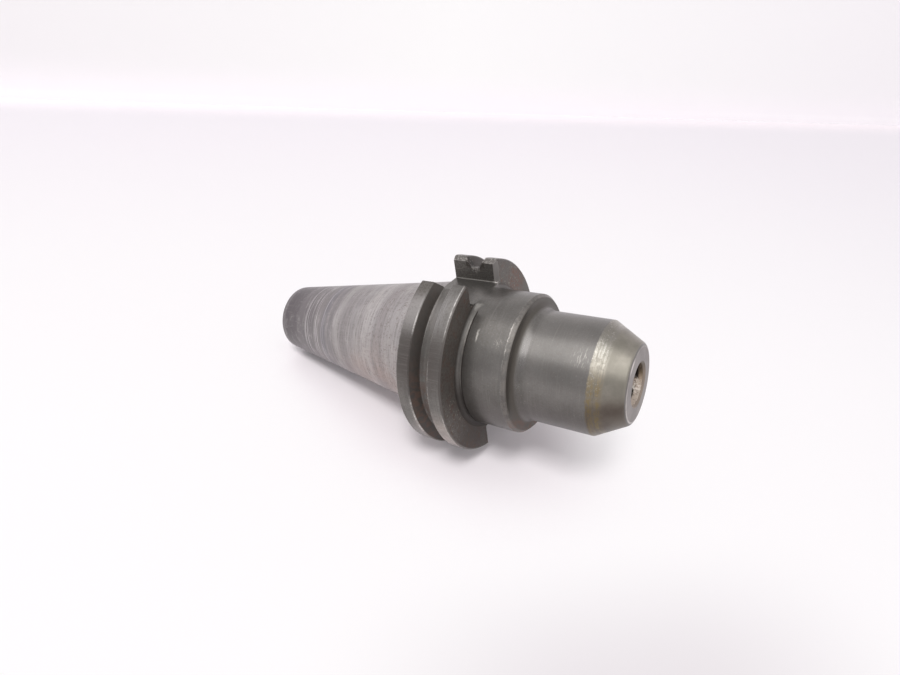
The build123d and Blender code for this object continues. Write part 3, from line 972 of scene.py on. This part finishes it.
# Clamping screw. Its thread is cut off by the chamfers at its ends, and the socket's mouth is a cone.
screw_profile = (screw_radius, screw_groove_radius, *screw_thread_shares)
screw_along, screw_wall = thread(screw_tip, screw_top, screw_pitch, screw_profile, screw_turn, rows=8)
tip_cone = screw_radius - screw_tip_chamfer + screw_along - screw_tip
outer_cone = screw_radius - screw_outer_chamfer + screw_top - screw_along
screw_wall = np.minimum(screw_wall, np.minimum(tip_cone, outer_cone))
socket_bottom = screw_top - socket_depth
cone_rows = [(screw_top, socket_mouth), (screw_top - 0.35, socket_mouth - 0.35)]
socket_rows = np.array([*cone_rows, (screw_top - 0.8, 0), (socket_bottom, 0)])
hexagon = socket_flat / np.cos((screw_turn + pi / 6) % (pi / 3) - pi / 6)
socket = np.maximum(hexagon, socket_rows[:, 1:])
drilled_cone = np.array([[socket_bottom], [socket_bottom - socket_drill_point]])
screw_patches = [
    (around_screw(screw_along, screw_wall, screw_turn), 0),
    (around_screw(screw_tip, ring(screw_wall[0], screw_wall[0] * 0.5, 0), screw_turn), 0),
    (around_screw(screw_top, ring(screw_wall[-1], socket[0]), screw_turn), 0),
    (around_screw(socket_rows[:, :1], socket, screw_turn), 0),
    (around_screw(drilled_cone, ring(hexagon, 0), screw_turn), 0),
]
screw = piece("threaded_clamping_screw", screw_patches, [screw_finish])
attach(screw, "clamp_screw")
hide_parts("side_lock_screw")

# Camera, turned by a yaw, a pitch and a roll
camera_data = bpy.data.cameras.new("camera")
camera_data.sensor_width = 36
camera_data.lens = 23.048
camera_data.clip_start = 0.01
camera_data.clip_end = 20
camera = linked("camera", camera_data)
camera.location = (0.077265, -0.138377, 0.122267)
camera_yaw, camera_pitch, camera_roll = radians(28.613), radians(36.821), radians(5.349)
turn = Euler((0, 0, camera_yaw)).to_matrix() @ Euler((pi / 2 - camera_pitch, 0, 0)).to_matrix()
camera.rotation_euler = (turn @ Euler((0, 0, camera_roll)).to_matrix()).to_euler()
bpy.context.scene.camera = camera

# The paper floor ends behind the holder in a straight edge, where the paper wall stands.
edge_point = np.array([-0.1993, 0.3286])
edge_run = np.array([0.755, 0.656])
viewer_run = np.array([0.656, -0.755])
paper_half_width = 1.6
floor_depth = 2.4
wall_height = 0.3
edge_left = edge_point - paper_half_width * edge_run
edge_right = edge_point + paper_half_width * edge_run
floor_run = floor_depth * viewer_run
floor_corners = edge_left, edge_left + floor_run, edge_right + floor_run, edge_right
paper_sheets = {
    "floor": [(*corner, 0) for corner in floor_corners],
    "wall": [(*edge_left, 0), (*edge_right, 0), (*edge_right, wall_height), (*edge_left, wall_height)],
}
edge_start = (*edge_point, floor_height)


def floor_tint(f):
    """Whiter towards the viewer, greyer to the right, and a faint painted shadow in front of the holder."""
    depth = f.run_from(edge_start, (*viewer_run, 0))
    sideways = f.run_from(edge_start, (*edge_run, 0))
    far_tones = (0, (242, 237, 243)), (0.2, (246, 241, 246))
    near_tones = (0.5, (251, 248, 250)), (0.76, (254, 252, 253))
    tint = f.ramp(f.product(depth, 2), *far_tones, *near_tones)
    tint = f.mix(f.ease(sideways, -0.05, 0.45, 0, 0.8), tint, (236, 231, 237))
    # A faint painted shadow on the paper in front of the holder.
    in_front = f.product(f.ease(depth, 0.44, 0.485), f.band(sideways, -0.08, 0.02, 0.04))
    return f.mix(f.product(in_front, f.ease(depth, 0.62, 0.5)), tint, (230, 225, 228))


def wall_tint(f):
    """Whitest in the middle, and along its foot."""
    sideways = f.run_from(edge_start, (*edge_run, 0))
    tones = (0.1, (243, 238, 241)), (0.5, (253, 251, 251)), (0.95, (244, 239, 243))
    tint = f.ramp(f.total(sideways, 0.5), *tones)
    return f.mix(f.ease(f.run_from(edge_start, (0, 0, 1)), 0.009, 0.006), tint, (255, 253, 254))


def paper(name, base, tint):
    """White paper. The camera and the steel's reflections see open paper mostly as plain white of a tint,
    less where something stands over it, and its shadows in full."""
    material = bpy.data.materials.new(name)
    material.use_nodes = True
    f = Pattern(material.node_tree)
    shader = f.tree.nodes["Principled BSDF"]
    f.feed(shader.inputs["Base Color"], base)
    shader.inputs["Roughness"].default_value = 0.9
    shader.inputs["Specular IOR Level"].default_value = 0.2
    white = f.node("Emission", Color=tint(f), Strength=1)
    open_above = f.node("AmbientOcclusion", Distance=0.055).outputs["AO"]
    ray = f.node("LightPath").outputs
    seen = f.most(ray["Is Camera Ray"], ray["Is Glossy Ray"], ray["Is Transmission Ray"])
    blend = f.node("MixShader", Fac=f.product(seen, f.ease(open_above, 0.5, 0.9, 0.05, 0.82)))
    f.feed(blend.inputs[1], shader.outputs[0])
    f.feed(blend.inputs[2], white.outputs[0])
    f.feed(f.tree.nodes["Material Output"].inputs["Surface"], blend.outputs[0])
    return material


paper_finishes = {
    "floor": paper("floor_paper", (236, 230, 233), floor_tint),
    "wall": paper("wall_paper", (244, 241, 244), wall_tint),
}
for name, corners in paper_sheets.items():
    sheet = bpy.data.meshes.new(name)
    sheet.from_pydata([(x, y, z + floor_height) for x, y, z in corners], [], [(0, 1, 2, 3)])
    sheet.materials.append(paper_finishes[name])
    linked(name, sheet)

# Pale surroundings, which every ray sees alike: brighter to the sides and behind than on the viewer's side
world = bpy.data.worlds.new("studio")
world.use_nodes = True
bpy.context.scene.world = world
sky = Pattern(world.node_tree)
direction = sky.node("SeparateXYZ", Vector=sky.coordinates["Generated"]).outputs
light_behind = sky.ease(direction["Y"], -0.6, 0.5, 0.6, 0.72)
light_left = sky.ease(direction["X"], -0.9, -0.3, 0.5, 0.0)
light_right = sky.ease(direction["X"], 0.3, 0.9, 0.0, 0.3)
background = sky.tree.nodes["Background"]
sky.feed(background.inputs["Color"], (252, 250, 252))
sky.feed(background.inputs["Strength"], sky.total(light_behind, light_left, light_right))


def lamp(name, place, length, width, power):
    """A soft box aimed at the holder, long in X."""
    data = bpy.data.lights.new(name, "AREA")
    data.shape = "RECTANGLE"
    data.size, data.size_y, data.energy = length, width, power
    box = linked(name, data)
    box.location = place
    box.rotation_euler = (-Vector(place)).to_track_quat("-Z", "Y").to_euler()
    return box


# The wide box makes the steel's highlights. The small far one lights the paper and casts the shadow.
highlight_box = lamp("overhead", (0.05, -0.2, 0.75), 1.6, 0.76, 6.2)
highlight_box.visible_diffuse = False
shadow_box = lamp("shadow_caster", (0.2, -0.92, 2.0), 0.6, 0.6, 30.0)
shadow_box.visible_glossy = False

bpy.context.scene.view_settings.view_transform = "Standard"
